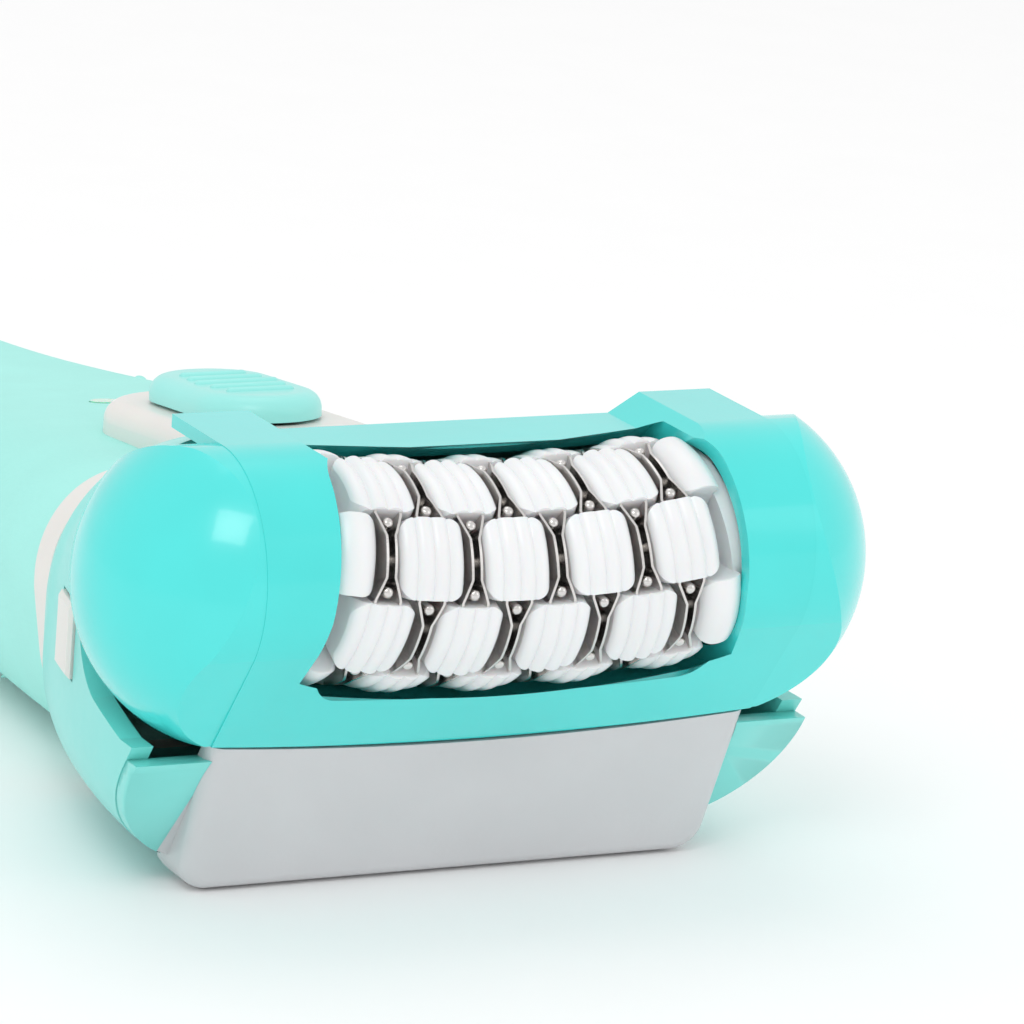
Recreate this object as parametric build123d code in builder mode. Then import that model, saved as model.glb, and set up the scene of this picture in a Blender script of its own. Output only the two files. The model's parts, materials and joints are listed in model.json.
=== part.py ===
"""Cordless epilator with a lift-off head, a curved tweezer drum and a battery handle.

Millimetres. The device lies on its back: +Z is up (switch side), -Y is the working head,
+Y the tail of the handle, X runs along the drum. The origin is under the middle of the object.
Side profiles are drawn in (y, z) measured from the middle of the drum's axis.
"""
from build123d import *
import os
from math import cos, radians, sin

os.makedirs("parts", exist_ok=True)

# ---- driving dimensions: drum ----
DRUM_Y = -58.55         # drum axis, middle of the drum
DRUM_Z = 24.0
ARC_R = 100.0           # the drum's axis is an arc, lowest in the middle
DISC_PITCH = 3.5
DISC_COUNT = 8
LOBE_R = 8.6            # drum radius over the lobes
LOBE_ROOT_R = 5.2
LOBE_HALF_W = 2.55
LOBE_LENGTH = 6.0       # along the drum's turning direction
LOBE_ARC = 42.0         # most that a lobe spans round the drum, in degrees
LOBE_FOOT = 1.4         # half width of the web that joins a lobe to its hub
HUB_R = 4.9
HUB_HALF_W = 1.6
SHAFT_R = 1.5
SHAFT_HALF = 21.9       # half the shaft's length along the arc
BORE_R = 1.56
END_BORE_R = 1.6
ROW_TILT = 23.0         # middle row of lobes at rest, degrees above the -Y direction
PLATE_T = 0.2
PLATE_OUT = 0.45        # outer face of a tweezer plate from the disc's middle
PLATE_R = 8.2
FLARE_OUT = 1.1         # the same where a plate enters a lobe
END_S = 16.9            # arc length where the end disc's own axis touches the shaft
END_LOBE_S = 15.85
FLANGE_R = 7.2
FLANGE_T = 1.2

# ---- driving dimensions: head ----
CHEEK_R = 8.9
CHEEK_UP = 1.6          # cheek profile's centre above the drum's axis
CHEEK_X = 22.0
TANGENT_ANGLE = 213.0   # where the cheek's round front runs into its lower slope
CHIN_FRONT = -1.4
CHIN_LEAN = 4.8         # its front leans back by this from top to table
FLANGE_TOP = -12.8
CHIN_TOP = -11.4
CHIN_REAR = 8.8         # where its sloping rear meets the table
CHIN_DROP = 1.0         # the band's lower edge bows down by this in the middle
HEAD_BACK = 8.9
TABLE = -24.0           # the plane it lies on, from the drum's axis
CAVITY_R = 9.1
END_CAVITY_R = 7.8
CAP_R = 12.4            # sphere of the end caps
CAP_CENTRE_X = 18.6
SADDLE_Z = 9.0          # top rail between the cheeks
SKIN = 1.0

# ---- driving dimensions: gears ----
MODULE = 0.5
DRUM_TEETH = 28
IDLER_TEETH = 25
SPUR_TEETH = 12
CROWN_TEETH = 24
PINION_TEETH = 8
GEAR_GAP = 0.08         # added to each centre distance
GEAR_W = 1.5
GEAR_OUT = 1.85         # drum gear's middle, outwards from the end disc's plane
IDLER_DIR = -25.0       # direction from the drum gear to the idler
SPUR_DIR = -35.0        # direction from the idler to the small spur wheel
AXLE_R = 0.75
RUN = 0.05              # running clearance of wheels on their axles
CROWN_IN, CROWN_OUT = 5.5, 6.3
CROWN_HUB_R = 2.0
OUTER_PLATE = (-2.1, -1.1)      # chassis plates, along the drum gear's axis from its middle
INNER_PLATE = (1.05, 2.05)
ADDENDUM, DEDENDUM = 0.9 * MODULE, 1.2 * MODULE

# ---- driving dimensions: handle ----
WALL = 1.7
GAP = 0.2
TAIL_SPLIT = 118.0
TAIL_END = 126.0        # keeps the object centred on its origin
SPLIT_Z = -14.6         # parting plane of the handle's half shells
COLLAR_LOW = (26.6, -22.0)
COLLAR_HIGH = (35.0, -2.0)
COLLAR_W = 3.0
BUTTON_Y, BUTTON_Z = 16.2, -7.9
BUTTON_W, BUTTON_H = 4.3, 5.6
POD_REAR, POD_FRONT = 58.0, 20.0
POD_HALF_W = 8.0
POD_SLOPE = 6.6         # degrees, the pod's top rises towards the head
POD_MID_Y, POD_MID_Z = 45.0, 0.4
SLIDER_TRAVEL = 6.0
SLOT_W = 3.4
MOTOR_LENGTH = 25.0
MOTOR_R, MOTOR_FLAT = 7.75, 6.0
CELL_R, CELL_LENGTH = 5.0, 28.0
CELL_X, CELL_Z = 5.2, -15.7
CELL_FRONT = 64.8
SOCKET_R = 2.75         # bore of the charging socket
SOCKET_OUT = 3.65
SOCKET_LENGTH = 8.0
SCREW_Y = (60.0, 103.0)
SCREW_R, SCREW_HEAD_R, POST_R = 1.1, 2.3, 3.2
LENS_Y, LENS_R = 70.0, 1.2


def at(x, y, z):
    """A point given from the drum's axis, in the object's own frame."""
    return (x, DRUM_Y + y, DRUM_Z + z)


def side_plane(x):
    """Plane across the drum: local (u, v) is (y, z) from the drum's axis, normal +X."""
    return Plane(origin=at(x, 0, 0), x_dir=(0, 1, 0), z_dir=(1, 0, 0))


def cross_plane(y):
    """Plane across the handle: local (u, v) is (-x, z) from the drum's axis, normal +Y."""
    return Plane(origin=at(0, y, 0), x_dir=(-1, 0, 0), z_dir=(0, 1, 0))


def level_plane(z):
    """Horizontal plane at a height from the drum's axis: local (u, v) is (x, y)."""
    return Plane(origin=at(0, 0, z))


def drum_plane(s):
    """Local plane of the drum at arc length s: normal along the bent shaft, x_dir +Y."""
    turn = s / ARC_R
    origin = at(ARC_R * sin(turn), 0, ARC_R * (1 - cos(turn)))
    return Plane(origin=origin, x_dir=(0, 1, 0), z_dir=(cos(turn), 0, sin(turn)))


def save(piece, name):
    """Label a finished piece and write it as its own file."""
    piece.label = name
    export_step(piece, f"parts/{name}.step")


# ---- gear train positions, in the tilted plane of the drum gear ----
GEAR_PLANE = drum_plane(-END_S).offset(-GEAR_OUT)
DRUM_TO_IDLER = MODULE * (DRUM_TEETH + IDLER_TEETH) / 2 + GEAR_GAP
IDLER_TO_SPUR = MODULE * (IDLER_TEETH + SPUR_TEETH) / 2 + GEAR_GAP
IDLER_UV = (
    DRUM_TO_IDLER * cos(radians(IDLER_DIR)),
    DRUM_TO_IDLER * sin(radians(IDLER_DIR)),
)
SPUR_UV = (
    IDLER_UV[0] + IDLER_TO_SPUR * cos(radians(SPUR_DIR)),
    IDLER_UV[1] + IDLER_TO_SPUR * sin(radians(SPUR_DIR)),
)


def gear_plane(uv, along=0.0):
    """Plane parallel to the drum gear, moved by uv in it and along its axis."""
    origin = GEAR_PLANE.from_local_coords((uv[0], uv[1], along))
    return Plane(origin=origin, x_dir=GEAR_PLANE.x_dir, z_dir=GEAR_PLANE.z_dir)


SPUR_PLANE = gear_plane(SPUR_UV)
TO_MIDDLE = -SPUR_PLANE.origin.X / SPUR_PLANE.z_dir.X      # along the axle to x = 0
MOTOR_Y = SPUR_PLANE.origin.Y - DRUM_Y
MOTOR_Z = SPUR_PLANE.origin.Z - DRUM_Z + TO_MIDDLE * SPUR_PLANE.z_dir.Z
CROWN_PITCH = TO_MIDDLE - MODULE * PINION_TEETH / 2 - GEAR_GAP
CROWN_FLOOR = CROWN_PITCH - DEDENDUM
CROWN_DISC = 1.4
PINION_FRONT = MOTOR_Y + CROWN_IN - 0.3
PINION_BACK = MOTOR_Y + CROWN_OUT + 1.2
MOTOR_FRONT = 31.0


def gear_points(teeth, first_angle):
    """Straight-sided teeth with backlash; one tooth is centred on first_angle, in degrees."""
    pitch_r = MODULE * teeth / 2
    step = 360 / teeth
    corners = (
        (pitch_r - DEDENDUM, -0.32), (pitch_r, -0.22), (pitch_r + ADDENDUM, -0.11),
        (pitch_r + ADDENDUM, 0.11), (pitch_r, 0.22), (pitch_r - DEDENDUM, 0.32),
    )
    points = []
    for index in range(teeth):
        for radius, share in corners:
            angle = radians(first_angle + (index + share) * step)
            points.append((radius * cos(angle), radius * sin(angle)))
    return points


def spur_gear(plane, teeth, width, bore_r, first_angle):
    """Spur gear centred on a plane."""
    with BuildPart() as gear:
        with BuildSketch(plane):
            with BuildLine():
                Polyline(*gear_points(teeth, first_angle), close=True)
            make_face()
            Circle(bore_r, mode=Mode.SUBTRACT)
        extrude(amount=width / 2, both=True)
    return gear.part


def rod(plane, radius, low, high):
    """Round bar along a plane's normal, between two heights above it."""
    with BuildPart() as bar:
        with BuildSketch(plane.offset(low)):
            Circle(radius)
        extrude(amount=high - low)
    return bar.part


# ---- drum discs, made about the Z axis and then put on the bent shaft ----
def lobe(ribs, low, high):
    """Barrel lobe on the +X side, between two heights; its top is a row of small round ribs."""
    start = radians(-LOBE_ARC / 2)
    radial = Plane((0, 0, 0), x_dir=(cos(start), sin(start), 0), z_dir=(sin(start), -cos(start), 0))
    rib_w = (high - low) / ribs
    bite = 0.28 if ribs > 1 else 0.6

    def crest(height):
        return LOBE_R - 0.55 * (height / LOBE_HALF_W) ** 2

    with BuildPart() as barrel:
        with BuildSketch(radial):
            with BuildLine():
                Polyline((crest(low) - bite, low), (LOBE_ROOT_R, low), (LOBE_ROOT_R, high),
                         (crest(high) - bite, high))
                for rib in range(ribs):
                    left = low + rib * rib_w
                    right = left + rib_w
                    middle = (left + right) / 2
                    ThreePointArc(
                        (crest(left) - bite, left), (crest(middle), middle), (crest(right) - bite, right)
                    )
            make_face()
            foot_high = min(high, LOBE_FOOT)
            with Locations((LOBE_ROOT_R - 0.2, (foot_high - LOBE_FOOT) / 2)):
                Rectangle(1.4, foot_high + LOBE_FOOT)
        revolve(axis=Axis.Z, revolution_arc=LOBE_ARC)
        with BuildSketch(Plane.YZ.offset(HUB_R - 1)):
            RectangleRounded(LOBE_LENGTH, 2 * LOBE_HALF_W, 1.35)
        extrude(amount=LOBE_R, mode=Mode.INTERSECT)
    return barrel.part


RIBBED_LOBE = lobe(4, -LOBE_HALF_W, LOBE_HALF_W)


def disc_blank(first_angle):
    """White disc: a hub with four ribbed lobes, one of them at first_angle."""
    with BuildPart() as disc:
        Cylinder(HUB_R, 2 * HUB_HALF_W)
        with PolarLocations(0, 4, start_angle=first_angle):
            add(RIBBED_LOBE)
        Cylinder(BORE_R, 20, mode=Mode.SUBTRACT)
    return disc.part


def tweezer_blank(first_angle):
    """Four pairs of thin plates in the waists between lobes, with a spreader pin in each pair."""
    inner = PLATE_OUT - PLATE_T
    flare_in = FLARE_OUT - PLATE_T
    with BuildPart() as pair:
        with BuildSketch(Plane.YZ.offset(HUB_R + 0.05)):
            with BuildLine():
                Polyline((-4.1, flare_in), (-3.1, flare_in), (-1.5, inner), (1.5, inner),
                         (3.1, flare_in), (4.1, flare_in), (4.1, FLARE_OUT), (3.1, FLARE_OUT),
                         (1.5, PLATE_OUT), (-1.5, PLATE_OUT), (-3.1, FLARE_OUT), (-4.1, FLARE_OUT),
                         close=True)
            make_face()
        extrude(amount=LOBE_R)
        Cylinder(PLATE_R, 20, mode=Mode.INTERSECT)
        mirror(about=Plane.XY)
        with BuildSketch(Plane.XY):
            with Locations((HUB_R + 1.3, 0)):
                Circle(0.45)
        extrude(amount=inner, both=True)
    with BuildPart() as plates:
        with PolarLocations(0, 4, start_angle=first_angle):
            add(pair.part)
    return plates.part


def place_on_shaft(blank, s, name):
    """Put a drum piece on the shaft at arc length s and save it."""
    placed = drum_plane(s).location * blank
    save(placed, name)


def make_discs():
    """Eight white discs with their steel plates; neighbours are turned by half a pitch."""
    middle_row = 180 - ROW_TILT
    blanks = [
        (disc_blank(middle_row + 45), tweezer_blank(middle_row)),
        (disc_blank(middle_row), tweezer_blank(middle_row + 45)),
    ]
    for index in range(DISC_COUNT):
        s = (index - (DISC_COUNT - 1) / 2) * DISC_PITCH
        disc, plates = blanks[index % 2]
        place_on_shaft(disc, s, f"disc_{index + 1}")
        place_on_shaft(plates, s, f"tweezers_{index + 1}")


def make_end_disc(side, name, first_angle):
    """Smooth lobes that face the drum, with a round flange outside; side is -1 or 1."""
    lobe_mid = END_LOBE_S - END_S
    flange_in = -0.75
    half_lobe = lobe(1, -LOBE_HALF_W, flange_in - lobe_mid + 0.2)
    with BuildPart() as disc:
        with Locations((0, 0, (lobe_mid - HUB_HALF_W + flange_in) / 2)):
            Cylinder(HUB_R, flange_in - lobe_mid + HUB_HALF_W)
        with Locations((0, 0, flange_in + FLANGE_T / 2)):
            Cylinder(FLANGE_R, FLANGE_T)
        with Locations((0, 0, lobe_mid)):
            with PolarLocations(0, 4, start_angle=first_angle):
                add(half_lobe)
        with Locations((0, 0, flange_in + FLANGE_T + 0.1)):
            Cylinder(3.2, 0.4)
        Cylinder(END_BORE_R, 20, mode=Mode.SUBTRACT)
    piece = disc.part if side > 0 else disc.part.mirror(Plane.XY)
    place_on_shaft(piece, side * END_S, name)


def make_shaft():
    """Bent steel shaft that doesn't turn, and the retaining rings at its ends."""
    turn = SHAFT_HALF / ARC_R
    ends = [at(sign * ARC_R * sin(turn), 0, ARC_R * (1 - cos(turn))) for sign in (-1, 1)]
    with BuildPart() as shaft:
        with BuildLine():
            ThreePointArc(ends[0], at(0, 0, 0), ends[1])
        with BuildSketch(drum_plane(-SHAFT_HALF)):
            Circle(SHAFT_R)
        sweep()
    save(shaft.part, "drum_shaft")
    with BuildPart() as rings:
        for side in (-1, 1):
            with BuildSketch(drum_plane(side * (SHAFT_HALF - 0.5))):
                Circle(2.6)
                Circle(SHAFT_R + 0.05, mode=Mode.SUBTRACT)
            extrude(amount=0.25, both=True)
    save(rings.part, "shaft_clips")


# ---- gear train ----
def make_gears():
    """Drum gear, idler, crown wheel with its small spur wheel, and the motor's pinion."""
    down = 180 + IDLER_DIR
    half = 0.5
    drum_first = IDLER_DIR
    idler_first = down + half * 360 / IDLER_TEETH
    drum_gear = spur_gear(GEAR_PLANE, DRUM_TEETH, GEAR_W, END_BORE_R, drum_first)
    save(drum_gear, "drum_gear")
    idler_plane = gear_plane(IDLER_UV)
    idler = spur_gear(idler_plane, IDLER_TEETH, GEAR_W, AXLE_R + RUN, idler_first)
    save(idler, "idler_gear")
    save(rod(idler_plane, AXLE_R, -1.0, INNER_PLATE[1]), "idler_axle")

    idler_step = 360 / IDLER_TEETH
    phase = ((SPUR_DIR - idler_first) / idler_step) % 1
    spur_first = 180 + SPUR_DIR + (phase + half) * 360 / SPUR_TEETH
    with BuildPart() as crown:
        add(spur_gear(SPUR_PLANE, SPUR_TEETH, GEAR_W, AXLE_R + RUN, spur_first))
        with BuildSketch(SPUR_PLANE.offset(GEAR_W / 2)):
            Circle(CROWN_HUB_R)
            Circle(AXLE_R + RUN, mode=Mode.SUBTRACT)
        extrude(amount=CROWN_FLOOR - GEAR_W / 2)
        with BuildSketch(SPUR_PLANE.offset(CROWN_FLOOR - CROWN_DISC)):
            Circle(CROWN_OUT)
            Circle(AXLE_R + RUN, mode=Mode.SUBTRACT)
        extrude(amount=CROWN_DISC)
        add(crown_teeth())
    save(crown.part, "crown_gear")
    save(rod(SPUR_PLANE, AXLE_R, -1.0, TO_MIDDLE + 4.0), "crown_axle")

    pinion_plane = Plane(
        origin=at(0, (PINION_FRONT + PINION_BACK) / 2, MOTOR_Z), x_dir=SPUR_PLANE.z_dir, z_dir=(0, 1, 0)
    )
    pinion_first = 180 + half * 360 / PINION_TEETH
    pinion = spur_gear(pinion_plane, PINION_TEETH, PINION_BACK - PINION_FRONT, 1.0, pinion_first)
    save(pinion, "motor_pinion")


def crown_teeth():
    """Ring of teeth that stand along the axle; one points straight at the motor."""
    with BuildPart() as tooth:
        with BuildSketch(Plane.YZ.offset(CROWN_IN)):
            with BuildLine():
                Polyline((-0.42, -0.1), (-0.31, DEDENDUM), (-0.18, DEDENDUM + ADDENDUM),
                         (0.18, DEDENDUM + ADDENDUM), (0.31, DEDENDUM), (0.42, -0.1), close=True)
            make_face()
        extrude(amount=CROWN_OUT - CROWN_IN)
    with BuildPart() as ring:
        with PolarLocations(0, CROWN_TEETH):
            add(tooth.part)
    return SPUR_PLANE.offset(CROWN_FLOOR).location * ring.part


# ---- head casing ----
def cheek_outline(inset, back):
    """Side profile of the head frame, moved inwards by inset and closed at back."""
    radius = CHEEK_R - inset
    angle = radians(TANGENT_ANGLE)
    tangent = (radius * cos(angle), CHEEK_UP + radius * sin(angle))
    front = (-radius, CHEEK_UP)
    top = (0, CHEEK_UP + radius)
    low = CHIN_TOP - CHIN_DROP + inset
    foot = CHIN_FRONT + inset + 0.65 * CHIN_DROP
    with BuildLine() as outline:
        Line((foot, low), tangent)
        ThreePointArc(tangent, front, top)
        Polyline(top, (back, CHEEK_UP + radius), (back, low), (foot, low))
    return outline.edges()


def lens_outline(inset):
    """Side profile of an end cap: the cheek's round front with an egg-shaped rear."""
    radius = CHEEK_R - inset
    angle = radians(TANGENT_ANGLE)
    tangent = (radius * cos(angle), CHEEK_UP + radius * sin(angle))
    top = (0, CHEEK_UP + radius)
    low = CHIN_TOP + inset
    with BuildLine() as outline:
        Line((CHIN_FRONT + inset, low), tangent)
        ThreePointArc(tangent, (-radius, CHEEK_UP), top)
        ThreePointArc(top, (8.4 - 0.7 * inset, 6.8 - 0.7 * inset), (12.7 - inset, -2.0))
        ThreePointArc((12.7 - inset, -2.0), (12.2 - inset, -7.2), (8.4 - 0.5 * inset, -10.2 + 0.8 * inset))
        Polyline((8.4 - 0.5 * inset, -10.2 + 0.8 * inset), (2.5, low), (CHIN_FRONT + inset, low))
    return outline.edges()


def drum_cavity(radius, half_s):
    """Curved round space for the drum, its ends square to the bent axis."""
    turn = half_s / ARC_R
    ends = [at(sign * ARC_R * sin(turn), 0, ARC_R * (1 - cos(turn))) for sign in (-1, 1)]
    with BuildPart() as space:
        with BuildLine():
            ThreePointArc(ends[0], at(0, 0, 0), ends[1])
        with BuildSketch(drum_plane(-half_s)):
            Circle(radius)
        sweep()
    return space.part


def make_head_frame():
    """Frame of the working side: two cheeks, the window, a thin top rail and a lower band."""
    tilt = radians(ROW_TILT)
    window_plane = Plane(
        origin=at(0, 0, 0), x_dir=(1, 0, 0), z_dir=(0, -cos(tilt), sin(tilt))
    )
    outside = cheek_outline(0, HEAD_BACK)
    inside = cheek_outline(SKIN, HEAD_BACK + 1)
    with BuildPart() as frame:
        with BuildSketch(side_plane(0)):
            make_face(outside)
        extrude(amount=CHEEK_X, both=True)
        # saddle between the cheeks
        with BuildSketch(cross_plane(-15)):
            with BuildLine():
                Polyline((-17.5, 12), (-16.0, CHEEK_UP + CHEEK_R), (-13.5, SADDLE_Z),
                         (13.5, SADDLE_Z), (16.0, CHEEK_UP + CHEEK_R), (17.5, 12), close=True)
            make_face()
        extrude(amount=30, mode=Mode.SUBTRACT)
        # lower edge of the band, bowed down in the middle
        with BuildSketch(cross_plane(-15)):
            with BuildLine():
                ThreePointArc(
                    (-CHEEK_X - 1, CHIN_TOP + 0.1), (0, CHIN_TOP - CHIN_DROP), (CHEEK_X + 1, CHIN_TOP + 0.1)
                )
                Polyline((CHEEK_X + 1, CHIN_TOP + 0.1), (CHEEK_X + 1, -15), (-CHEEK_X - 1, -15),
                         (-CHEEK_X - 1, CHIN_TOP + 0.1))
            make_face()
        extrude(amount=30, mode=Mode.SUBTRACT)
        # drum space, end spaces and the hollow behind them
        add(drum_cavity(CAVITY_R, 16.4), mode=Mode.SUBTRACT)
        for side in (-1, 1):
            with BuildSketch(drum_plane(side * 16.3)):
                Circle(END_CAVITY_R)
            extrude(amount=side * 4.0, mode=Mode.SUBTRACT)
            with BuildSketch(side_plane(side * 18.9)):
                make_face(inside)
            extrude(amount=side * 5, mode=Mode.SUBTRACT)
        with BuildSketch(side_plane(0)):
            with BuildLine():
                Polyline((1.5, CHIN_TOP + 1.4), (1.5, 7.4), (HEAD_BACK + 1, 7.4),
                         (HEAD_BACK + 1, CHIN_TOP + 1.4), close=True)
            make_face()
        extrude(amount=19.2, both=True, mode=Mode.SUBTRACT)
        # window
        with BuildSketch(window_plane):
            with BuildLine():
                ThreePointArc((-17.0, -8.5), (0, -9.0), (17.0, -8.5))
                Polyline((17.0, -8.5), (15.6, 9.2), (-15.6, 9.2), (-17.0, -8.5))
            make_face()
            fillet(vertices(), 3.0)
        extrude(amount=20, mode=Mode.SUBTRACT)
    save(frame.part, "head_frame")


def make_end_caps():
    """Hollow domed covers of the cheek ends."""
    outside, inside = lens_outline(0.05), lens_outline(1.6)
    for side, name in ((-1, "end_cap_left"), (1, "end_cap_right")):
        with BuildPart() as cap:
            with BuildSketch(side_plane(side * CHEEK_X)):
                make_face(outside)
            extrude(amount=side * 12)
            with Locations(at(side * CAP_CENTRE_X, 2.4, -0.2)):
                Sphere(CAP_R, mode=Mode.INTERSECT)
            with BuildSketch(side_plane(side * CHEEK_X)):
                make_face(inside)
            extrude(amount=side * 5, taper=20, mode=Mode.SUBTRACT)
        save(cap.part, name)


def chin_profile():
    """Side profile of the chin cover: its front leans back and its rear follows the neck's seam."""
    slope = CHIN_REAR / (CHIN_TOP + 0.2 - TABLE)
    heel = TABLE + 1.4
    with BuildLine() as outline:
        Polyline((CHIN_FRONT, CHIN_TOP + 0.2), (0, CHIN_TOP + 0.2), (slope * (CHIN_TOP + 0.2 - heel), heel),
                 (CHIN_REAR - 1.9, TABLE), (CHIN_FRONT + CHIN_LEAN, TABLE), close=True)
    return outline.edges()


def chin_mask():
    """Front outline of the chin cover under the bowed edge of the frame."""
    top, low, height = CHEEK_X - 0.1, CHEEK_X - 0.5, CHIN_TOP - GAP
    with BuildLine() as outline:
        ThreePointArc((-top, height), (0, height - CHIN_DROP), (top, height))
        Polyline((top, height), (low, TABLE), (-low, TABLE), (-top, height))
    return outline.edges()


def make_chin_cover():
    """Light grey cover under the frame with a flange that closes the neck's lower front."""
    profile, mask = chin_profile(), chin_mask()
    with BuildPart() as cover:
        with BuildSketch(side_plane(0)):
            make_face(profile)
        extrude(amount=CHEEK_X, both=True)
        with BuildSketch(cross_plane(-12)):
            make_face(mask)
            fillet(vertices().group_by(Axis.Y)[0], 2.4)
        extrude(amount=30, mode=Mode.INTERSECT)
        front = sorted(cover.faces(), key=lambda face: face.normal_at().Y)[0]
        fillet([edge for edge in front.edges() if edge.center().Z < DRUM_Z - 14], 1.2)
    slope = CHIN_REAR / (CHIN_TOP + 0.2 - TABLE)
    top, low = FLANGE_TOP, TABLE + 1.4
    heights = [slope * (CHIN_TOP + 0.2 - z) for z in (top, low)]
    slab = side_prism((heights[0] - 1.6, top), (heights[0], top), (heights[1], low), (heights[1] - 1.6, low))
    save(cover.part + (slab & body_form(NECK_SECTIONS, 0.1)), "chin_cover")


# ---- neck, collar and handle ----
NECK_SECTIONS = (
    # y, half width, low z, high z, corner radius
    (-6.0, 27.2, -22.5, 10.5, 9.0),
    (12.0, 26.6, -22.6, 8.0, 9.0),
    (33.0, 20.4, -22.7, -2.2, 8.6),
)
HANDLE_SECTIONS = (
    (24.0, 20.7, -22.7, -1.4, 8.6),
    (60.0, 19.0, -23.6, -4.0, 8.6),
    (92.0, 15.4, -23.2, -8.6, 7.0),
    (TAIL_END, 11.8, -22.0, -12.0, 4.8),
)
TAIL_MID_Z = (HANDLE_SECTIONS[-1][2] + HANDLE_SECTIONS[-1][3]) / 2


def body_form(sections, inset):
    """Smooth form through rounded cross-sections, moved inwards by inset."""
    with BuildPart() as form:
        for y, half_w, low, high, corner in sections:
            with BuildSketch(cross_plane(y)):
                with Locations((0, (low + high) / 2)):
                    RectangleRounded(2 * (half_w - inset), high - low - 2 * inset, corner - inset)
        loft()
    return form.part


def side_prism(*points):
    """Block across the whole width with a side profile of straight lines."""
    with BuildPart() as block:
        with BuildSketch(side_plane(0)):
            with BuildLine():
                Polyline(*points, close=True)
            make_face()
        extrude(amount=35, both=True)
    return block.part


def collar_seam(shift):
    """The collar's slanting seam, moved back by shift: a point far below and one far above."""
    slope = (COLLAR_HIGH[0] - COLLAR_LOW[0]) / (COLLAR_HIGH[1] - COLLAR_LOW[1])
    low_z, high_z = -40.0, 25.0
    base = COLLAR_LOW[0] + shift
    return (
        (base + slope * (low_z - COLLAR_LOW[1]), low_z),
        (base + slope * (high_z - COLLAR_LOW[1]), high_z),
    )


def seam_block():
    """Everything in front of the neck's seam: the frame, the caps and the chin cover."""
    back, low = HEAD_BACK + GAP, CHIN_TOP - GAP
    with BuildPart() as block:
        with BuildSketch(side_plane(0)):
            with BuildLine():
                Line((back, 20), (back, 6.2))
                ThreePointArc((back, 6.2), (11.5, 2.6), (12.7 + GAP, -2.0))
                ThreePointArc((12.7 + GAP, -2.0), (12.2 + GAP, -7.3), (8.5, -10.4))
                Polyline((8.5, -10.4), (2.5, low), (0.3, low), (CHIN_REAR + 0.5, TABLE),
                         (CHIN_REAR + 0.5, -40), (-40, -40), (-40, 20), (back, 20))
            make_face()
        extrude(amount=35, both=True)
    return block.part


def box(x, y, z):
    """Box from (low, high) pairs measured from the drum's axis."""
    with BuildPart() as block:
        with Locations(at((x[0] + x[1]) / 2, (y[0] + y[1]) / 2, (z[0] + z[1]) / 2)):
            Box(x[1] - x[0], y[1] - y[0], z[1] - z[0])
    return block.part


def pod_top(y):
    """Height of the pod's sloping top."""
    return POD_MID_Z + (POD_MID_Y - y) * sin(radians(POD_SLOPE)) / cos(radians(POD_SLOPE))


def pod_plane():
    """Plane of the pod's sloping top: local x is X, local y runs to the tail."""
    tilt = radians(POD_SLOPE)
    return Plane(origin=at(0, POD_MID_Y, POD_MID_Z), x_dir=(1, 0, 0), z_dir=(0, sin(tilt), cos(tilt)))


def pod_solid():
    """Raised switch pod: long, round at the rear, its top rising towards the head."""
    with BuildPart() as pod:
        with BuildSketch(side_plane(0)):
            with BuildLine():
                Polyline((POD_FRONT, -8), (POD_FRONT, pod_top(POD_FRONT)),
                         (POD_REAR, pod_top(POD_REAR)), (POD_REAR, -8), close=True)
            make_face()
        extrude(amount=POD_HALF_W, both=True)
        fillet(pod.edges().filter_by(Axis.Z).group_by(Axis.Y)[-1], POD_HALF_W - 0.6)
        rim = pod.faces().sort_by(Axis.Z)[-1].edges()
        fillet([edge for edge in rim if edge.center().Y > DRUM_Y + POD_FRONT + 0.1], 1.6)
    return pod.part


def button_hole(side, grow):
    """Block for a release button in the neck's side wall, widened all round by grow."""
    x = (18, 32) if side > 0 else (-32, -18)
    half_y, half_z = BUTTON_W / 2 + grow, BUTTON_H / 2 + grow
    return box(x, (BUTTON_Y - half_y, BUTTON_Y + half_y), (BUTTON_Z - half_z, BUTTON_Z + half_z))


def tail_plane():
    """Plane of the tail's end face, on the charging socket's axis."""
    return Plane(origin=at(0, TAIL_END, TAIL_MID_Z), x_dir=(-1, 0, 0), z_dir=(0, 1, 0))


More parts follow.
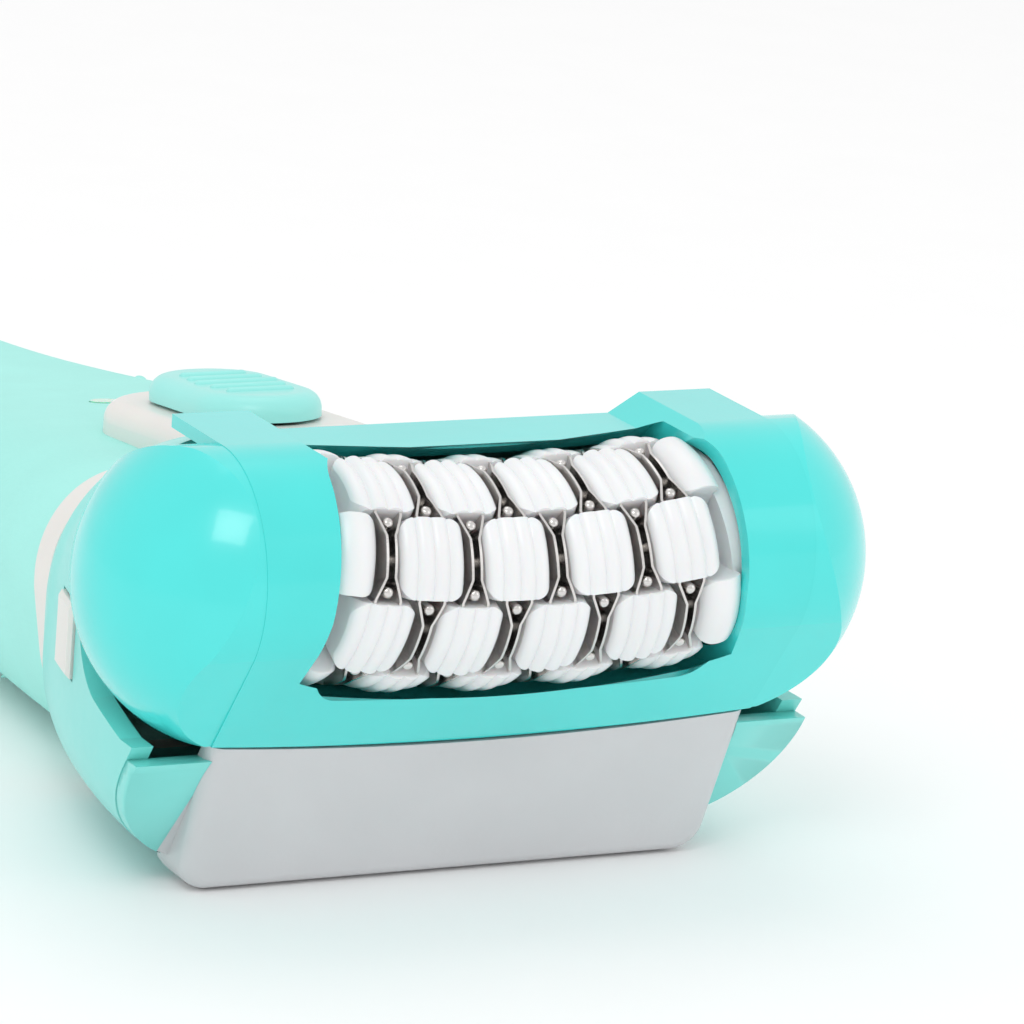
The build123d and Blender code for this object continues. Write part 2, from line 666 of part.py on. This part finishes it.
def make_casing():
    """Neck, collar with pod, two handle half shells and tail cap, cut from two hollow forms."""
    neck_form = body_form(NECK_SECTIONS, 0)
    neck_shell = neck_form - body_form(NECK_SECTIONS, WALL)
    handle_form = body_form(HANDLE_SECTIONS, 0)
    handle_hollow = body_form(HANDLE_SECTIONS, WALL)
    handle_shell = handle_form - handle_hollow
    front_low, front_high = collar_seam(0)
    rear_low, rear_high = collar_seam(COLLAR_W)
    neck = neck_shell & side_prism((-1.5, -40), front_low, front_high, (-1.5, 25))
    neck = neck - seam_block() - button_hole(-1, GAP) - button_hole(1, GAP)

    pod = pod_solid()
    slot = box(
        (-SLOT_W / 2, SLOT_W / 2), (POD_MID_Y - SLIDER_TRAVEL - 2.5, POD_MID_Y + 2.5), (-12, 8)
    )
    save(neck, "neck_shell")
    ring = body_form(HANDLE_SECTIONS, -0.12) - handle_hollow
    ring = ring & side_prism(front_low, rear_low, rear_high, front_high)
    collar = ring + (pod - handle_form - neck_form) - slot
    save(collar, "collar")
    handle = handle_shell & side_prism(rear_low, (TAIL_SPLIT, -40), (TAIL_SPLIT, 25), rear_high)
    for y in SCREW_Y:
        post = rod(level_plane(0), POST_R, -30, 10)
        handle = handle + (Pos(0, y, 0) * post & handle_form)
    upper = handle - side_prism((0, SPLIT_Z), (200, SPLIT_Z), (200, -40), (0, -40)) - slot
    lower = handle - side_prism((0, SPLIT_Z), (200, SPLIT_Z), (200, 40), (0, 40))
    for y in SCREW_Y:
        spot = Plane(origin=at(0, y, SPLIT_Z))
        upper = upper - rod(spot, SCREW_R + 0.02, -1, 4)
        lower = lower - rod(spot, SCREW_R + 0.15, -30, 1) - rod(spot, SCREW_HEAD_R + 0.15, -30, -5)
    upper = upper - Pos(0, LENS_Y, 0) * rod(level_plane(0), LENS_R + 0.1, -12, 5)
    save(upper, "handle_shell_top")
    save(lower, "handle_shell_bottom")
    tail_zone = side_prism((TAIL_SPLIT, -40), (160, -40), (160, 25), (TAIL_SPLIT, 25))
    plug = handle_hollow - side_prism((TAIL_END - 2, -40), (160, -40), (160, 25), (TAIL_END - 2, 25))
    tail = handle_form & tail_zone
    tail = fillet(tail.faces().sort_by(Axis.Y)[-1].edges(), 2.2) - plug
    tail = tail - rod(tail_plane(), SOCKET_OUT + 0.05, -20, 5)
    save(tail, "tail_cap")


# ---- inner parts and controls ----
def plate(plane, low_high, points, holes):
    """Flat chassis plate with round holes at local points."""
    low, high = low_high
    with BuildPart() as sheet:
        with BuildSketch(plane.offset(low)):
            with BuildLine():
                Polyline(*points, close=True)
            make_face()
            for (u, v), radius in holes:
                with Locations((u, v)):
                    Circle(radius, mode=Mode.SUBTRACT)
        extrude(amount=high - low)
    return sheet.part


def make_chassis():
    """Carrier behind the drum: back wall, two outer plates, an inner gear plate and a rib."""
    shaft_hole = ((0, 0), SHAFT_R + 0.12)
    outer_points = [(-3.5, -3), (-3.5, 4), (2, 4.8), (10.6, 3.8), (10.6, 2.0), (4, -3)]
    right_points = [(-3.5, -3), (-3.5, 4), (2, 4.8), (10.6, 3.8), (10.6, -6), (4, -5)]
    right_plane = drum_plane(END_S).offset(GEAR_OUT)
    left = plate(GEAR_PLANE, OUTER_PLATE, outer_points, [shaft_hole])
    right = plate(right_plane, (-OUTER_PLATE[1], -OUTER_PLATE[0]), right_points, [shaft_hole])
    inner_points = [(9.4, 2.4), (13, 2.4), (23, -6), (23, -13.6), (16, -13.6), (9.4, -8)]
    holes = [(IDLER_UV, AXLE_R + 0.02), (SPUR_UV, CROWN_HUB_R + RUN)]
    inner = plate(GEAR_PLANE, INNER_PLATE, inner_points, holes)
    wall = box((-17.2, 20.3), (9.3, 10.6), (-9.6, 5.4)) + box((-20.6, 1), (9.3, 10.6), (4.0, 5.4))
    rib = box((2.2, 3.8), (9.6, 22.4), (MOTOR_Z - 3.2, -4.0))
    rib = rib - rod(SPUR_PLANE, AXLE_R + 0.02, 0, TO_MIDDLE + 8)
    save(left + right + inner + wall + rib, "head_chassis")


def make_buttons():
    """Release buttons in the neck's sides, each with a thin flange inside the wall."""
    form = body_form(NECK_SECTIONS, -0.5)
    for side, name in ((-1, "release_button_left"), (1, "release_button_right")):
        def span(low, high):
            return (low, high) if side > 0 else (-high, -low)

        body = box(
            span(22.9, 29), (BUTTON_Y - BUTTON_W / 2, BUTTON_Y + BUTTON_W / 2),
            (BUTTON_Z - BUTTON_H / 2, BUTTON_Z + BUTTON_H / 2),
        )
        flange = box(
            span(22.9, 23.4), (BUTTON_Y - BUTTON_W / 2 - 0.8, BUTTON_Y + BUTTON_W / 2),
            (BUTTON_Z - BUTTON_H / 2 - 0.8, BUTTON_Z + BUTTON_H / 2 + 0.8),
        )
        button = body & form
        button = chamfer(button.faces().sort_by(Axis.X)[-1 if side > 0 else 0].edges(), 0.3)
        save(button + flange, name)


def make_switch():
    """Domed slider pad with its stem, the switch it works and the circuit board."""
    with BuildPart() as slider:
        with BuildSketch(pod_plane().offset(0.25)):
            SlotOverall(18.0, 10.4, rotation=90)
        extrude(amount=2.0)
        up = Axis(pod_plane().origin, pod_plane().z_dir)
        fillet(slider.faces().sort_by(up)[-1].edges(), 1.4)
        with BuildSketch(pod_plane().offset(-4.6)):
            Rectangle(2.8, 3.0)
        extrude(amount=4.9)
    save(slider.part, "switch_slider")
    save(box((-4, 4), (36.6, 46.0), (-5.6, -4.85)), "slide_switch")
    save(box((-8, 8), (34.0, 53.5), (-6.45, -5.6)), "circuit_board")


def make_drive():
    """Motor with its shaft and the bracket that holds its nose."""
    motor_plane = cross_plane(0).location * Pos(0, MOTOR_Z, 0)
    axis = Plane(motor_plane)
    can = rod(axis, MOTOR_R, MOTOR_FRONT, MOTOR_FRONT + MOTOR_LENGTH)
    can = can & box((-8, 8), (30, 60), (MOTOR_Z - MOTOR_FLAT, MOTOR_Z + MOTOR_FLAT))
    can = can + rod(axis, 3.0, MOTOR_FRONT - 1.5, MOTOR_FRONT)
    save(can - rod(axis, 1.0 + RUN, 20, 70), "motor_can")
    save(rod(axis, 1.0, PINION_FRONT - 0.3, MOTOR_FRONT + MOTOR_LENGTH + 0.4), "motor_shaft")
    bracket = box((-11, 11), (MOTOR_FRONT - 1.6, MOTOR_FRONT - 0.1), (MOTOR_Z - 7.6, MOTOR_Z + 6.5))
    save(bracket - rod(axis, 3.05, 20, 40), "motor_mount")


def make_power():
    """Two cells in a tray with end contacts, the charging socket, screws and charge light."""
    rear = CELL_FRONT + CELL_LENGTH
    cell = rod(cross_plane(0), CELL_R, CELL_FRONT, rear)
    cells = [Pos(x, 0, CELL_Z) * cell for x in (-CELL_X, CELL_X)]
    save(Compound(children=cells), "battery_cells")
    low = CELL_Z - CELL_R
    tray = box((-8.4, 8.4), (63.6, rear + 1.4), (low - 0.5, low - 0.1))
    for y in (63.6, rear + 0.5):
        tray = tray + box((-9.6, 9.6), (y, y + 0.9), (low - 0.2, -11.6))
    save(tray, "battery_cradle")
    contacts = [box((-9, 9), (y, y + 0.25), (-18, -12.2)) for y in (64.52, rear + 0.03)]
    save(Compound(children=contacts), "battery_contacts")
    socket = rod(tail_plane(), SOCKET_OUT, -SOCKET_LENGTH - 1.2, 0)
    save(socket - rod(tail_plane(), SOCKET_R, -SOCKET_LENGTH, 1), "charge_socket")
    screws = []
    for y in SCREW_Y:
        spot = Plane(origin=at(0, y, SPLIT_Z))
        screws.append(rod(spot, SCREW_R, -5.1, 3.6) + rod(spot, SCREW_HEAD_R, -6.5, -5.1))
    save(Compound(children=screws), "case_screws")
    lens = rod(level_plane(0), LENS_R, -7.4, 5)
    save(Pos(0, LENS_Y, 0) * lens & body_form(HANDLE_SECTIONS, -0.1), "indicator_lens")


if __name__ == "__main__":
    make_discs()
    make_end_disc(-1, "end_disc_left", 180 - ROW_TILT)
    make_end_disc(1, "end_disc_right", 180 - ROW_TILT + 45)
    make_shaft()
    make_gears()
    make_head_frame()
    make_end_caps()
    make_chin_cover()
    make_casing()
    make_chassis()
    make_buttons()
    make_switch()
    make_drive()
    make_power()
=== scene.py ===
"""Looks of a cordless epilator around its fixed CAD frame. Metres; +Z up, -Y the working head."""
import json
import math

import bmesh
import bpy
from mathutils import Matrix, Vector
from mathutils.bvhtree import BVHTree


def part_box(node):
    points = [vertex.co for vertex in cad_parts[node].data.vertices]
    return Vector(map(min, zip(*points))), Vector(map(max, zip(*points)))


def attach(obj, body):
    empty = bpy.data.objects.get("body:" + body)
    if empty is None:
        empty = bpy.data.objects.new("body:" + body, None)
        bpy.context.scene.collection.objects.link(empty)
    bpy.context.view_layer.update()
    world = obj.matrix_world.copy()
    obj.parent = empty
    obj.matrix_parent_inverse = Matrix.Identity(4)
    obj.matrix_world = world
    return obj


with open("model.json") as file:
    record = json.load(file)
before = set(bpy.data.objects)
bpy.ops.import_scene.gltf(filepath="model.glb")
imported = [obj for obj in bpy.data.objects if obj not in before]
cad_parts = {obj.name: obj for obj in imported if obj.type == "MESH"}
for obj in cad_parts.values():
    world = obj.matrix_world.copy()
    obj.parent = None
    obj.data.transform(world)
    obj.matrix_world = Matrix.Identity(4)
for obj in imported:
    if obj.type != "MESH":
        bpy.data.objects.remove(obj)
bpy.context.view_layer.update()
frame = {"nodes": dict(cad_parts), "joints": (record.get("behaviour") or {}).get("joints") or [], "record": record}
MM = 0.001
BODY_OF = {node: body for body, nodes in frame["record"]["behaviour"]["bodies"].items() for node in nodes}
JOINTS = {joint["name"]: joint for joint in frame["joints"]}

# the drum's middle, between the middle discs' turning points
DISC_COUNT = sum(1 for name in frame["nodes"] if name.startswith("disc_"))
DRUM = (Vector(JOINTS["disc_4_spin"]["pos_m"]) + Vector(JOINTS["disc_5_spin"]["pos_m"])) / 2

# ---- view and light ----
CAMERA_AZIMUTH = math.radians(-28.0)
CAMERA_ELEVATION = math.radians(15.0)
CAMERA_ROLL = math.radians(4.6)
CAMERA_DISTANCE = 0.456
CAMERA_LENS = 221.0
AIM_RIGHT, AIM_UP = 1.6 * MM, 4.3 * MM      # the view's middle, from the drum's
SENSOR_WIDTH = 36.0
WORLD_STRENGTH = 0.86
FLOOR_SIZE, FLOOR_DROP = 6.0, 0.2 * MM      # the floor lies just under the object
LIGHTS = (
    # name, watts, side length, place from the drum
    ("key", 1.05, 0.30, (-0.35, -0.40, 0.60)),
    ("fill", 0.30, 0.40, (0.50, -0.45, 0.25)),
    ("top", 0.45, 0.45, (0.05, 0.25, 0.70)),
)


def make_camera():
    """Long lens from the left of the head, a little above it and rolled."""
    back = Vector((
        math.sin(CAMERA_AZIMUTH) * math.cos(CAMERA_ELEVATION),
        -math.cos(CAMERA_AZIMUTH) * math.cos(CAMERA_ELEVATION),
        math.sin(CAMERA_ELEVATION),
    ))
    level = Vector((0, 0, 1)).cross(back).normalized()
    rise = back.cross(level)
    right = level * math.cos(CAMERA_ROLL) + rise * math.sin(CAMERA_ROLL)
    up = back.cross(right)
    data = bpy.data.cameras.new("camera")
    data.lens = CAMERA_LENS
    data.sensor_width = SENSOR_WIDTH
    data.clip_start = 0.01
    camera = bpy.data.objects.new("camera", data)
    camera.matrix_world = Matrix((right, up, back)).transposed().to_4x4()
    camera.location = DRUM + right * AIM_RIGHT + up * AIM_UP + back * CAMERA_DISTANCE
    bpy.context.scene.collection.objects.link(camera)
    bpy.context.scene.camera = camera


def add_light(name, energy, size, place):
    """Square soft light that faces the head."""
    data = bpy.data.lights.new(name, "AREA")
    data.energy = energy
    data.size = size
    light = bpy.data.objects.new(name, data)
    light.location = DRUM + Vector(place)
    light.rotation_euler = (DRUM - light.location).to_track_quat("-Z", "Y").to_euler()
    bpy.context.scene.collection.objects.link(light)


def make_studio():
    """White surround, a pale floor and three soft lights."""
    world = bpy.data.worlds.new("surround")
    world.use_nodes = True
    background = world.node_tree.nodes["Background"]
    background.inputs["Color"].default_value = (1, 1, 1, 1)
    background.inputs["Strength"].default_value = WORLD_STRENGTH
    bpy.context.scene.world = world
    bpy.context.scene.view_settings.view_transform = "Standard"
    bpy.context.scene.view_settings.look = "None"
    for name, energy, size, place in LIGHTS:
        add_light(name, energy, size, place)
    bpy.ops.mesh.primitive_plane_add(size=FLOOR_SIZE, location=(0, 0, -FLOOR_DROP))
    floor = bpy.context.object
    floor.name = "floor"
    white = plastic("floor_white", (0.985, 0.985, 0.985), 0.95, grain=0.0, tint=0.004)
    floor.data.materials.append(white)


# ---- materials ----
def start_material(name):
    """New node material with its shader and an object-space coordinate source."""
    material = bpy.data.materials.new(name)
    material.use_nodes = True
    nodes = material.node_tree.nodes
    return material, nodes["Principled BSDF"], nodes.new("ShaderNodeTexCoord").outputs["Object"]


def add_noise(material, vector, scale, detail):
    """Noise texture's factor over a coordinate source."""
    noise = material.node_tree.nodes.new("ShaderNodeTexNoise")
    noise.inputs["Scale"].default_value = scale
    noise.inputs["Detail"].default_value = detail
    material.node_tree.links.new(vector, noise.inputs["Vector"])
    return noise.outputs["Fac"]


def add_shade(material, shader, factor, low, high, span=(0.0, 1.0)):
    """Base colour that runs from low to high with a factor."""
    ramp = material.node_tree.nodes.new("ShaderNodeValToRGB")
    for element, position, colour in zip(ramp.color_ramp.elements, span, (low, high)):
        element.position = position
        element.color = tuple(colour) + (1,)
    material.node_tree.links.new(factor, ramp.inputs["Fac"])
    material.node_tree.links.new(ramp.outputs["Color"], shader.inputs["Base Color"])


def add_gloss(material, shader, factor, low, high):
    """Roughness that runs from low to high with a factor."""
    gloss = material.node_tree.nodes.new("ShaderNodeMapRange")
    gloss.inputs["To Min"].default_value = low
    gloss.inputs["To Max"].default_value = high
    material.node_tree.links.new(factor, gloss.inputs["Value"])
    material.node_tree.links.new(gloss.outputs["Result"], shader.inputs["Roughness"])


def add_grain(material, shader, factor, strength, depth):
    """Fine surface grain as bump."""
    bump = material.node_tree.nodes.new("ShaderNodeBump")
    bump.inputs["Strength"].default_value = strength
    bump.inputs["Distance"].default_value = depth
    material.node_tree.links.new(factor, bump.inputs["Height"])
    material.node_tree.links.new(bump.outputs["Normal"], shader.inputs["Normal"])


CLOUD_SCALE, CLOUD_DETAIL, CLOUD_SPAN = 90.0, 3.0, (0.3, 0.7)
GRAIN_DETAIL, GRAIN_DEPTH = 4.0, 0.2 * MM
GLOSS_SPREAD, LEAST_ROUGHNESS = 0.05, 0.02
COAT_ROUGHNESS, MILKY_DEPTH = 0.08, 2.0 * MM
BRUSH_DETAIL, BRUSH_BUMP, BRUSH_DEPTH = 3.0, 0.08, 0.1 * MM
BRUSH_SHADE, BRUSH_GLOSS = 0.82, (0.7, 1.4)


def plastic(name, colour, roughness, grain=0.02, grain_scale=900.0, coat=0.0, tint=0.03, milky=0.0):
    """Moulded plastic: faint cloudy tint, uneven gloss and a fine surface grain."""
    material, shader, place = start_material(name)
    cloud = add_noise(material, place, CLOUD_SCALE, CLOUD_DETAIL)
    low = [c * (1 - tint) for c in colour]
    high = [min(1, c * (1 + tint)) for c in colour]
    add_shade(material, shader, cloud, low, high, CLOUD_SPAN)
    fine = add_noise(material, place, grain_scale, GRAIN_DETAIL)
    smoothest = max(LEAST_ROUGHNESS, roughness - GLOSS_SPREAD)
    add_gloss(material, shader, fine, smoothest, min(1.0, roughness + GLOSS_SPREAD))
    add_grain(material, shader, fine, grain, GRAIN_DEPTH)
    shader.inputs["Coat Weight"].default_value = coat
    shader.inputs["Coat Roughness"].default_value = COAT_ROUGHNESS
    shader.inputs["Subsurface Weight"].default_value = milky
    shader.inputs["Subsurface Scale"].default_value = MILKY_DEPTH
    return material


def metal(name, colour, roughness, brushed=(1.0, 1.0, 12.0), scale=700.0):
    """Bright metal with fine brushing, stretched across the brushed axis."""
    material, shader, place = start_material(name)
    shader.inputs["Metallic"].default_value = 1.0
    stretch = material.node_tree.nodes.new("ShaderNodeMapping")
    stretch.inputs["Scale"].default_value = brushed
    material.node_tree.links.new(place, stretch.inputs["Vector"])
    lines = add_noise(material, stretch.outputs["Vector"], scale, BRUSH_DETAIL)
    add_shade(material, shader, lines, [c * BRUSH_SHADE for c in colour], colour)
    add_gloss(material, shader, lines, roughness * BRUSH_GLOSS[0], roughness * BRUSH_GLOSS[1])
    add_grain(material, shader, lines, BRUSH_BUMP, BRUSH_DEPTH)
    return material


MATERIALS = {
    "frame_teal": plastic("teal_gloss", (0.055, 0.74, 0.71), 0.20, grain=0.01, coat=0.6),
    "cap_teal": plastic("teal_cap", (0.065, 0.76, 0.73), 0.24, grain=0.01, coat=0.5),
    "neck_mint": plastic("teal_satin", (0.22, 0.76, 0.71), 0.34, grain=0.03, coat=0.2),
    "handle_mint": plastic("mint_soft_touch", (0.39, 0.86, 0.79), 0.62, grain=0.25, grain_scale=2600.0),
    "slider_mint": plastic("mint_satin", (0.34, 0.84, 0.79), 0.38, grain=0.03, coat=0.15),
    "collar_cream": plastic("cream_satin", (0.80, 0.775, 0.74), 0.36, grain=0.03, coat=0.15, milky=0.05),
    "chin_grey": plastic("grey_satin", (0.635, 0.64, 0.655), 0.42, grain=0.08, grain_scale=1800.0),
    "disc_white": plastic("white_lobes", (0.86, 0.87, 0.88), 0.32, grain=0.02, coat=0.2, milky=0.12),
    "inner_plastic": plastic("inner_grey", (0.42, 0.43, 0.43), 0.5),
    "gear_plastic": plastic("acetal", (0.80, 0.78, 0.70), 0.35, milky=0.1),
    "switch_black": plastic("black_plastic", (0.02, 0.02, 0.022), 0.4),
    "board_green": plastic("solder_mask", (0.02, 0.14, 0.06), 0.35, coat=0.4),
    "cell_wrap": plastic("cell_sleeve", (0.06, 0.20, 0.30), 0.3, coat=0.3),
    "tweezer_steel": metal("bright_steel", (0.78, 0.76, 0.74), 0.22),
    "shaft_steel": metal("ground_steel", (0.76, 0.76, 0.76), 0.16, brushed=(12.0, 1.0, 1.0)),
    "clip_steel": metal("stamped_steel", (0.62, 0.61, 0.60), 0.34),
    "motor_steel": metal("plated_can", (0.60, 0.60, 0.60), 0.30, brushed=(1.0, 10.0, 1.0)),
    "pinion_brass": metal("brass", (0.80, 0.62, 0.28), 0.25),
    "lens_clear": plastic("green_lens", (0.35, 0.85, 0.60), 0.12, coat=0.8, milky=0.3),
}
SLOT_OF = {part["node"]: part["material_slot"] for part in frame["record"]["subparts"]}


def dress(piece, slot):
    """Give a piece the material of a record slot."""
    piece.data.materials.clear()
    piece.data.materials.append(MATERIALS[slot])


SHARP_FROM = math.radians(32.0)


def smooth(piece):
    """Smooth shading that keeps real edges."""
    for polygon in piece.data.polygons:
        polygon.use_smooth = True
    piece.data.set_sharp_from_angle(angle=SHARP_FROM)


# ---- small pieces that the CAD leaves out ----
ROUND, ROUND_RINGS = 14, 10


def capsule(work, start, end, radius, flat=1.0):
    """Round-ended rod between two points; flat below 1 squashes its ends.

    Points closer than 0.1 mm make the turn unreliable, so the rod's ends can lie askew.
    """
    start, end = Vector(start), Vector(end)
    turn = (end - start).to_track_quat("Z", "Y").to_matrix().to_4x4()
    ball = bmesh.ops.create_uvsphere(work, u_segments=ROUND, v_segments=ROUND_RINGS, radius=radius)
    for vertex in ball["verts"]:
        place = turn @ Vector((vertex.co.x, vertex.co.y, vertex.co.z * flat))
        vertex.co = place + (end if vertex.co.z >= 0 else start)


def finish_piece(work, name, body, slot_name):
    """Turn a bmesh into a smooth piece that rides on a body."""
    mesh = bpy.data.meshes.new(name)
    work.to_mesh(mesh)
    work.free()
    piece = bpy.data.objects.new(name, mesh)
    bpy.context.scene.collection.objects.link(piece)
    dress(piece, slot_name)
    for polygon in mesh.polygons:
        polygon.use_smooth = True
    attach(piece, body)
    return piece


LOBES, ROW_TILT = 4, 23.0   # the middle row's tilt above the -Y direction, in degrees
LOBE_STEP = 360.0 / LOBES
PIN_FROM_LOBE = 26.5        # degrees from a lobe's middle to a pin
PIN_LOW, PIN_HIGH, PIN_R = 4.6 * MM, 7.9 * MM, 0.42 * MM
PIN_TIP = 0.7


def make_pins(number):
    """Steel pin tips on both sides of every lobe of one tweezer disc."""
    joint = JOINTS[f"disc_{number}_spin"]
    middle, axis = Vector(joint["pos_m"]), Vector(joint["axis"]).normalized()
    forward = Vector((0, 1, 0))
    upward = axis.cross(forward).normalized()
    first = 180.0 - ROW_TILT + (LOBE_STEP / 2 if number % 2 else 0.0)
    work = bmesh.new()
    for lobe in range(LOBES):
        for side in (-1, 1):
            angle = math.radians(first + lobe * LOBE_STEP + side * PIN_FROM_LOBE)
            out = forward * math.cos(angle) + upward * math.sin(angle)
            capsule(work, middle + out * PIN_LOW, middle + out * PIN_HIGH, PIN_R, PIN_TIP)
    finish_piece(work, f"pins_{number}", f"tweezer_disc_{number}", "tweezer_steel")


def skin_of(*nodes):
    """Search tree of CAD surfaces, to lay details on."""
    points, faces = [], []
    for node in nodes:
        mesh = frame["nodes"][node].data
        start = len(points)
        points += [vertex.co.copy() for vertex in mesh.vertices]
        faces += [[start + index for index in polygon.vertices] for polygon in mesh.polygons]
    return BVHTree.FromPolygons(points, faces)


DOTS_IN_ROW, DOT_ROWS_EACH_WAY, DOT_ROW_TURN = 13, 3, 9.0
DOT_START, DOT_STEP = 50 * MM, 3.1 * MM     # from the drum, and between dots in a row
DOT_R, DOT_FLAT, DOT_ROOT = 0.55 * MM, 0.28, 0.02 * MM
GRIP_DROP = 2 * MM          # rows fan out from this far under the handle's middle
OUTSIDE = 60 * MM           # where rays at the handle start


def make_grip():
    """Rows of small dots on both flanks of the handle, where rays from outside meet it."""
    skin = skin_of("handle_shell_top", "handle_shell_bottom")
    high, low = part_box("handle_shell_top")[1].z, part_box("handle_shell_bottom")[0].z
    middle_z = (high + low) / 2 - GRIP_DROP
    work = bmesh.new()
    for side in (-1, 1):
        for row in range(-DOT_ROWS_EACH_WAY, DOT_ROWS_EACH_WAY + 1):
            tilt = math.radians(row * DOT_ROW_TURN)
            out = Vector((side * math.cos(tilt), 0, math.sin(tilt)))
            for step in range(DOTS_IN_ROW):
                y = DRUM.y + DOT_START + (step + 0.5 * (row % 2)) * DOT_STEP
                core = Vector((0, y, middle_z))
                hit, normal, _, _ = skin.ray_cast(core + out * OUTSIDE, -out)
                if hit is None:
                    continue
                normal = normal if normal.dot(out) > 0 else -normal
                capsule(work, hit - normal * DOT_ROOT, hit, DOT_R, DOT_FLAT)
    finish_piece(work, "grip_dots", "handle", "handle_mint")


RIBS_EACH_WAY, RIB_STEP, RIB_R = 2, 2.2 * MM, 0.42 * MM
RIB_HALF, RIB_SHORTER = 3.2 * MM, 0.35 * MM     # half length, and less for each rib from the middle
RIB_SINK = 0.12 * MM
ABOVE = 10 * MM


def make_slider_ribs():
    """Five thumb ribs across the slider pad."""
    skin = skin_of("switch_slider")
    low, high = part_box("switch_slider")
    middle_y = (low.y + high.y) / 2
    work = bmesh.new()
    for rib in range(-RIBS_EACH_WAY, RIBS_EACH_WAY + 1):
        y = middle_y + rib * RIB_STEP
        half = Vector((RIB_HALF - RIB_SHORTER * abs(rib), 0, 0))
        hit, _, _, _ = skin.ray_cast(Vector((0, y, high.z + ABOVE)), Vector((0, 0, -1)))
        if hit is not None:
            middle = hit - Vector((0, 0, RIB_SINK))
            capsule(work, middle - half, middle + half, RIB_R)
    finish_piece(work, "slider_ribs", "slider", "slider_mint")


CHIN_HALF_W = 22.2 * MM     # flange beyond this carries on the neck's sides
LIP_LIFT = 0.06 * MM
SAME_POINT = 0.001 * MM


def make_neck_lips():
    """Teal skin over the chin cover's flange where it carries on the neck's sides."""
    work = bmesh.new()
    work.from_mesh(frame["nodes"]["chin_cover"].data)
    inner = [face for face in work.faces if abs(face.calc_center_median().x) < CHIN_HALF_W]
    bmesh.ops.delete(work, geom=inner, context="FACES")
    bmesh.ops.remove_doubles(work, verts=work.verts, dist=SAME_POINT)
    work.normal_update()
    for vertex in work.verts:
        vertex.co += vertex.normal * LIP_LIFT
    piece = finish_piece(work, "neck_lips", "head", "neck_mint")
    smooth(piece)


make_camera()
make_studio()
for node, piece in frame["nodes"].items():
    dress(piece, SLOT_OF[node])
    smooth(piece)
for number in range(1, DISC_COUNT + 1):
    make_pins(number)
make_grip()
make_slider_ribs()
make_neck_lips()
